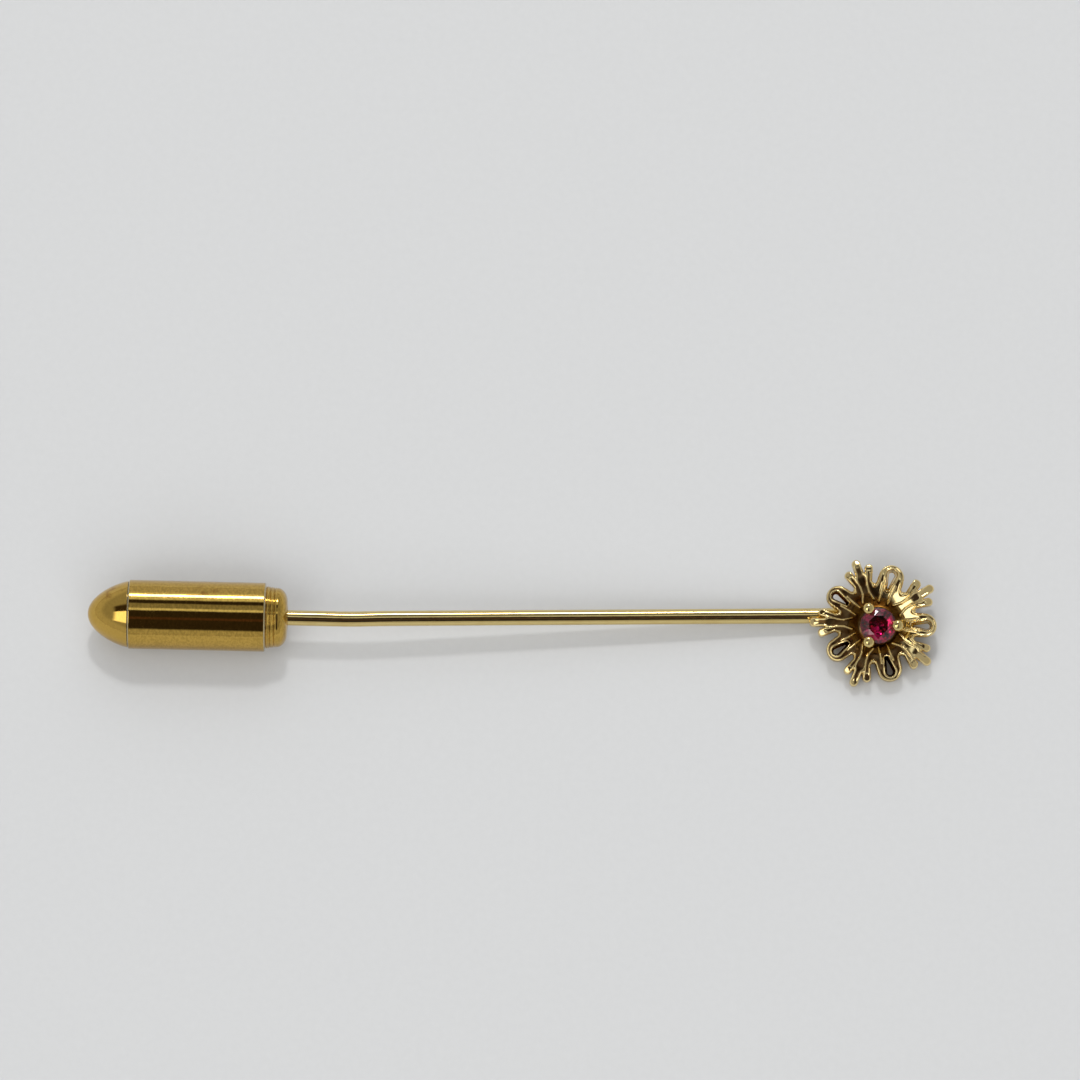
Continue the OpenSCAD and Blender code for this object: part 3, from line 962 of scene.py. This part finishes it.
def soft_light(name, degrees, size, power, in_metal=True, on_matt=True):
    """A flat lamp on an arch from the near horizon (0) over the top to the far one (180).

    It can be left out of what metal mirrors, or of what lights matt surfaces.
    """
    a = math.radians(degrees)
    data = bpy.data.lights.new(name, "AREA")
    data.shape = "RECTANGLE"
    data.size, data.size_y = size
    data.energy = power
    obj = bpy.data.objects.new(name, data)
    obj.location = Vector((0, -math.cos(a), math.sin(a))) * LAMP_DISTANCE
    obj.rotation_euler = (LAMP_AIM - obj.location).to_track_quat("-Z", "Y").to_euler()
    obj.visible_glossy = in_metal
    obj.visible_transmission = in_metal
    obj.visible_diffuse = on_matt
    bpy.context.scene.collection.objects.link(obj)


# The room that the polished metal mirrors. Each thing in it has one plain colour
TABLE_GLOW = rgb(0.55, 0.55, 0.55)
DARK_ROOM = rgb(0.04, 0.03, 0.025)
BROWN_SHELF = rgb(0.10, 0.05, 0.04)
CEILING = rgb(0.35, 0.35, 0.35)
DAYLIGHT = rgb(1.0, 1.05, 1.1)
FAR_WALL = rgb(0.6, 0.6, 0.65)
PALE_SIDE = rgb(0.58, 0.58, 0.58)
DULL_SIDE = rgb(0.40, 0.40, 0.40)
WINDOW = rgb(2.2, 2.2, 2.1)
WINDOW_WALL = rgb(0.05, 0.035, 0.02)
# Where each begins and ends, in degrees from the near horizon over the top to the far one. The gaps
# between them are soft edges
ROOM_BANDS = (
    (0, 18, TABLE_GLOW),
    (24, 54, DARK_ROOM),
    (57, 61, BROWN_SHELF),
    (65, 84, DARK_ROOM),
    (87, 91, DAYLIGHT),
    (94, 107, CEILING),
    (111, 120, DARK_ROOM),
    (125, 149, DAYLIGHT),
    (153, 180, FAR_WALL),
)


def room():
    """The room's light by direction: a bright far side, a window on the left, dark above the camera."""
    world = bpy.data.worlds.new("room")
    bpy.context.scene.world = world
    world.use_nodes = True
    w = Nodes(world.node_tree, "ShaderNodeBackground", "ShaderNodeOutputWorld")
    way = w.tree.nodes.new("ShaderNodeTexCoord").outputs["Generated"]
    x, y, z = w.node("ShaderNodeSeparateXYZ", Vector=way).outputs
    arch = w.math("ARCTAN2", z, w.math("MULTIPLY", y, -1.0))
    degrees = w.math("DEGREES", arch)
    stops = [(edge / 180, plain) for start, end, plain in ROOM_BANDS for edge in (start, end)]
    colour = w.ramp(w.math("DIVIDE", degrees, 180.0), stops)
    # past the arch's sides, the room is dull above and pale near the floor
    lean = w.math("DEGREES", w.math("ARCSINE", w.math("MULTIPLY", x, -1.0)))
    side = w.mix(w.band(z, 0.25, 0.45), PALE_SIDE, DULL_SIDE)
    colour = w.mix(w.band(w.math("ABSOLUTE", lean), 9, 18), colour, side)
    # the window on the left, and the dark wall over it
    within = w.math("MULTIPLY", w.band(lean, 12, 17), w.band(lean, 44, 52, 1.0, 0.0))
    window = w.math("MULTIPLY", w.band(degrees, 36, 42), w.band(degrees, 80, 83, 1.0, 0.0))
    wall = w.math("MULTIPLY", w.band(degrees, 80, 83), w.band(degrees, 102, 112, 1.0, 0.0))
    colour = w.mix(w.math("MULTIPLY", within, wall), colour, WINDOW_WALL)
    colour = w.mix(w.math("MULTIPLY", within, window), colour, WINDOW)
    w.set(Color=colour, Strength=1.0)


def lights():
    """A far lamp that only the metal mirrors, a key that throws the shadows and fills all round."""
    soft_light("far_lamp", 138.7, (0.20, 0.085), 0.75, on_matt=False)
    soft_light("key", 121.8, (0.06, 0.06), 0.92, in_metal=False)
    soft_light("far_fill", 142, (0.9, 0.4), 0.85, in_metal=False)
    soft_light("top_fill", 90, (0.9, 0.9), 1.3, in_metal=False)
    soft_light("near_fill", 38, (0.9, 0.4), 2.15, in_metal=False)


# ---- Building ----

bpy.context.scene.view_settings.view_transform = "Standard"
camera()
floor()
room()
lights()
pin_wire()
flower_casting()
round_stone()
stone_setting()
claws()
solder_joint()
barrel_shell()
bullet_nose()
ringed_collar()
STEEL = turned_steel()
return_spring(STEEL)
inner_steel(STEEL)
